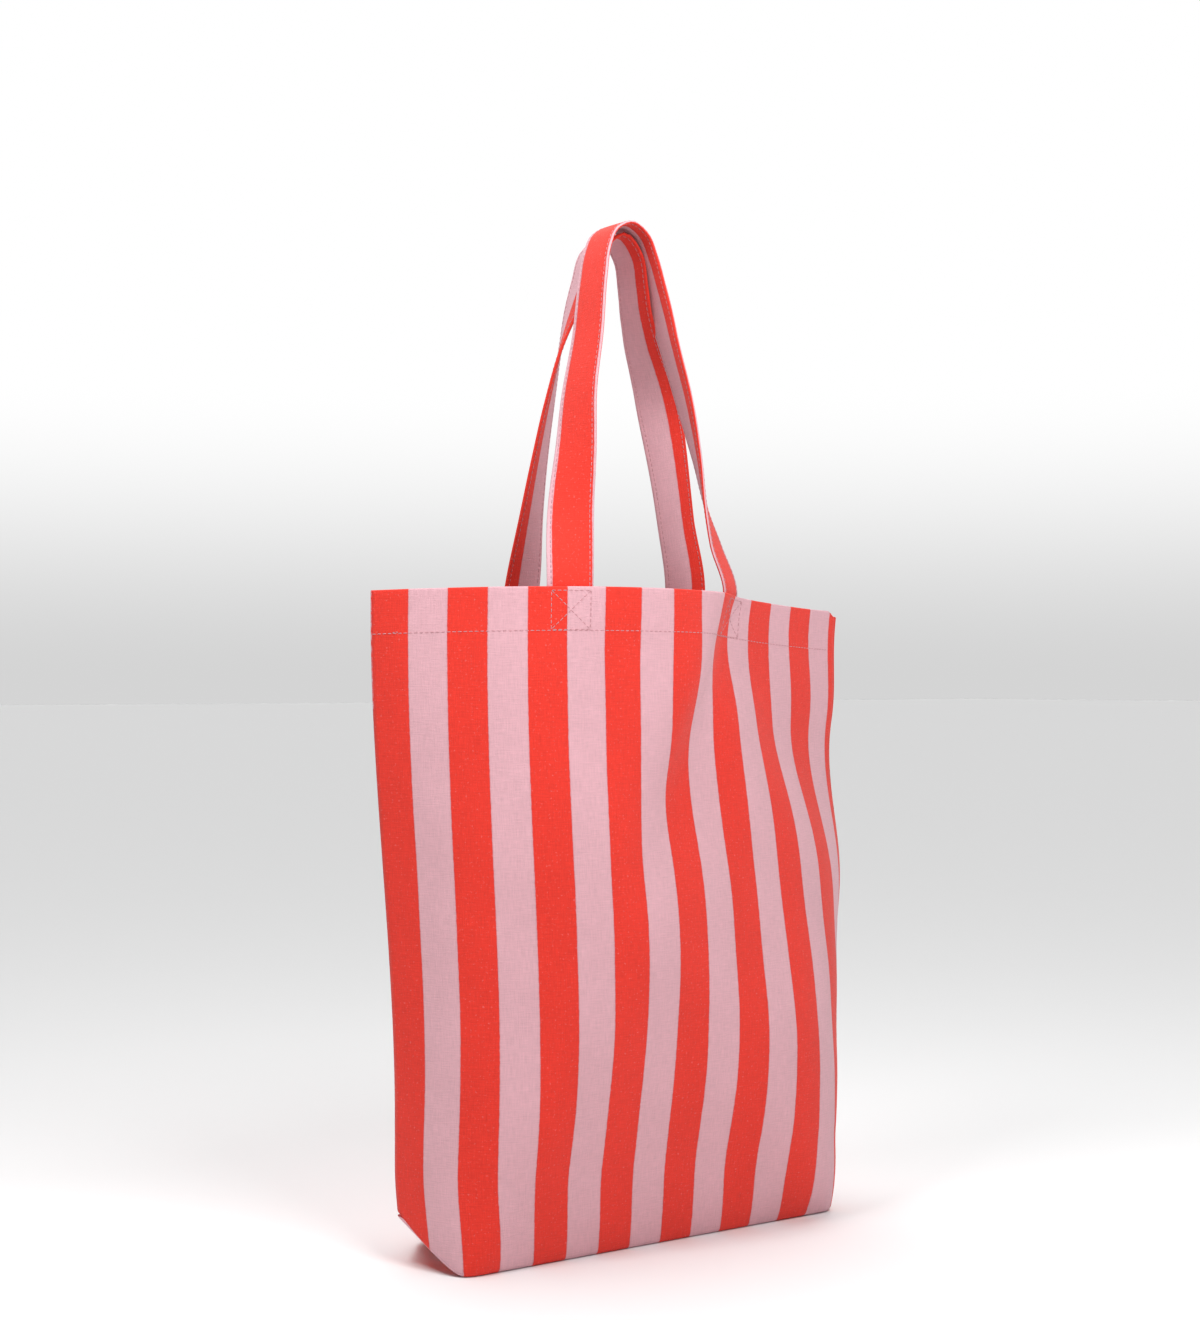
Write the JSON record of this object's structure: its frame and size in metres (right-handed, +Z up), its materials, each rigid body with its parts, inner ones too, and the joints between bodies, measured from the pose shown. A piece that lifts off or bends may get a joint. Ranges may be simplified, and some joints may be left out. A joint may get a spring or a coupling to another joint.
{
  "type": "canvas tote bag",
  "caption": "Free-standing striped canvas tote bag with a boxed base, a turned-in hem and long strap handles that swing down outside.",
  "frame": {"origin": "middle of the base's underside, on the surface the bag stands on", "axes": "+Z up, -Y towards the front panel, +X to the right of someone facing the front"},
  "size_m": [0.3701, 0.146, 0.6565],
  "materials": {
    "canvas": "plain-weave cotton canvas in even red and pink stripes",
    "strap": "the same canvas folded double, stripes along the strap",
    "thread": "pale pink sewing thread"
  },
  "bodies": {
    "bag": {"front_panel": "canvas", "back_panel": "canvas", "front_hem": "canvas", "back_hem": "canvas", "left_seam": "canvas", "right_seam": "canvas", "left_corner_seam": "canvas", "right_corner_seam": "canvas", "bottom_seam": "canvas", "front_handle_left_end": "strap", "front_handle_right_end": "strap", "back_handle_left_end": "strap", "back_handle_right_end": "strap", "front_hem_stitching": "thread", "back_hem_stitching": "thread", "front_box_stitching": "thread", "back_box_stitching": "thread"},
    "front_handle": {"front_handle": "strap"},
    "back_handle": {"back_handle": "strap"}
  },
  "joints": [
    {"name": "front_handle_swing", "type": "hinge", "parent": "bag", "child": "front_handle", "pos_m": [-0.0081, -0.06815, 0.418], "axis": [0.9993, 0.0363, 0], "range_deg": [0, 165]},
    {"name": "back_handle_swing", "type": "hinge", "parent": "bag", "child": "back_handle", "pos_m": [0.0155, 0.047, 0.418], "axis": [-0.9996, 0.0269, 0], "range_deg": [0, 165]}
  ]
}
